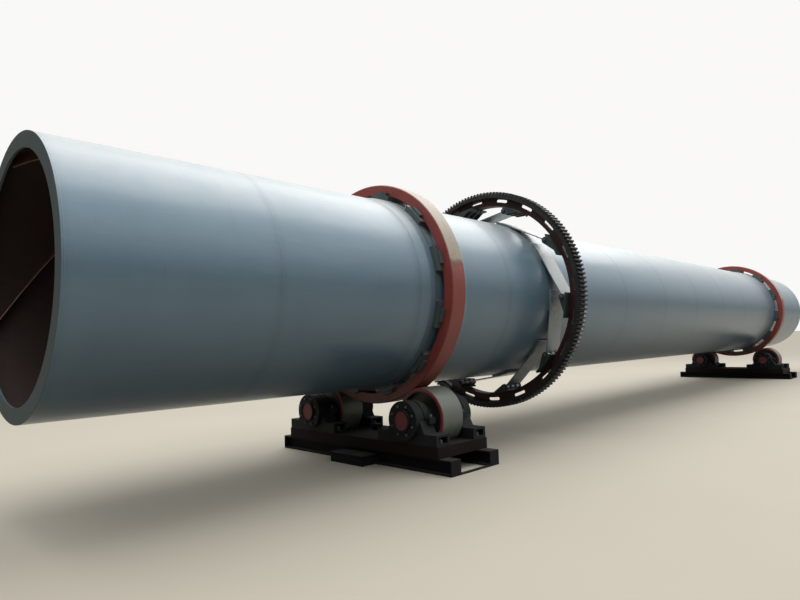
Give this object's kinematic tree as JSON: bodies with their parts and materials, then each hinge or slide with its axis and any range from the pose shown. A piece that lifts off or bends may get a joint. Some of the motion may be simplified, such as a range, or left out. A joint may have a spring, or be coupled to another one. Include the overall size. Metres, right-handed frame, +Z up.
{
  "type": "rotary drum dryer",
  "caption": "Long rotary drum dryer: steel drum with two riding rings and a sprung girth gear, carried on trunnion roller stations.",
  "frame": {"origin": "on the floor under the middle of the machine", "axes": "+X along the drum from the feed end to the discharge end, +Z up, the front side towards -Y"},
  "size_m": [22.8, 3.4, 3.7759],
  "materials": {
    "shell_paint": "satin",
    "inside_primer": "matte",
    "pad_paint": "satin",
    "ring_steel": "satin",
    "gear_paint": "satin",
    "plate_paint": "satin",
    "roller_steel": "satin",
    "machined_steel": "satin",
    "housing_paint": "satin",
    "cover_paint": "satin",
    "frame_paint": "satin"
  },
  "bodies": {
    "roller_stations": {"bearing_caps_discharge": "housing_paint", "bearing_caps_feed": "housing_paint", "bearing_cover_discs_discharge": "cover_paint", "bearing_cover_discs_feed": "cover_paint", "bearing_cover_rings_discharge": "housing_paint", "bearing_cover_rings_feed": "housing_paint", "bearing_housings_discharge": "housing_paint", "bearing_housings_feed": "housing_paint", "foundation_frame_discharge": "frame_paint", "foundation_frame_feed": "frame_paint", "roller_bed_discharge": "frame_paint", "roller_bed_feed": "frame_paint"},
    "drum": {"end_ring_discharge": "shell_paint", "end_ring_feed": "shell_paint", "feed_flights": "inside_primer", "gear_spring_brackets": "plate_paint", "gear_spring_pins": "machined_steel", "gear_spring_plates": "plate_paint", "gear_spring_shoes": "plate_paint", "girth_gear_lower_half": "gear_paint", "girth_gear_upper_half": "gear_paint", "riding_ring_discharge": "ring_steel", "riding_ring_feed": "ring_steel", "riding_ring_pads_discharge": "pad_paint", "riding_ring_pads_feed": "pad_paint", "riding_ring_stops_discharge": "pad_paint", "riding_ring_stops_feed": "pad_paint", "shell_discharge": "shell_paint", "shell_feed": "shell_paint", "shell_middle": "shell_paint", "shell_rear": "shell_paint", "shell_under_discharge_ring": "shell_paint", "shell_under_feed_ring": "shell_paint", "shell_under_gear": "shell_paint"},
    "roller_feed_front": {"trunnion_roller_feed_front": "roller_steel", "roller_shaft_feed_front": "machined_steel"},
    "roller_feed_back": {"trunnion_roller_feed_back": "roller_steel", "roller_shaft_feed_back": "machined_steel"},
    "roller_discharge_front": {"trunnion_roller_discharge_front": "roller_steel", "roller_shaft_discharge_front": "machined_steel"},
    "roller_discharge_back": {"trunnion_roller_discharge_back": "roller_steel", "roller_shaft_discharge_back": "machined_steel"}
  },
  "joints": [
    {"name": "drum_turn", "type": "hinge", "parent": "roller_stations", "child": "drum", "pos_m": [0, 0, 2.07587], "axis": [1, 0, 0], "continuous": true},
    {"name": "roller_feed_front_turn", "type": "hinge", "parent": "roller_stations", "child": "roller_feed_front", "pos_m": [-7.309, -0.8775, 0.556], "axis": [1, 0, 0], "continuous": true},
    {"name": "roller_feed_back_turn", "type": "hinge", "parent": "roller_stations", "child": "roller_feed_back", "pos_m": [-7.309, 0.8775, 0.556], "axis": [1, 0, 0], "continuous": true},
    {"name": "roller_discharge_front_turn", "type": "hinge", "parent": "roller_stations", "child": "roller_discharge_front", "pos_m": [8.065, -0.8775, 0.556], "axis": [1, 0, 0], "continuous": true},
    {"name": "roller_discharge_back_turn", "type": "hinge", "parent": "roller_stations", "child": "roller_discharge_back", "pos_m": [8.065, 0.8775, 0.556], "axis": [1, 0, 0], "continuous": true}
  ],
  "couplings": [
    {"joint": "roller_feed_front_turn", "follows": "drum_turn", "ratio": -4.0143},
    {"joint": "roller_feed_back_turn", "follows": "drum_turn", "ratio": -4.0143},
    {"joint": "roller_discharge_front_turn", "follows": "drum_turn", "ratio": -4.0143},
    {"joint": "roller_discharge_back_turn", "follows": "drum_turn", "ratio": -4.0143}
  ]
}
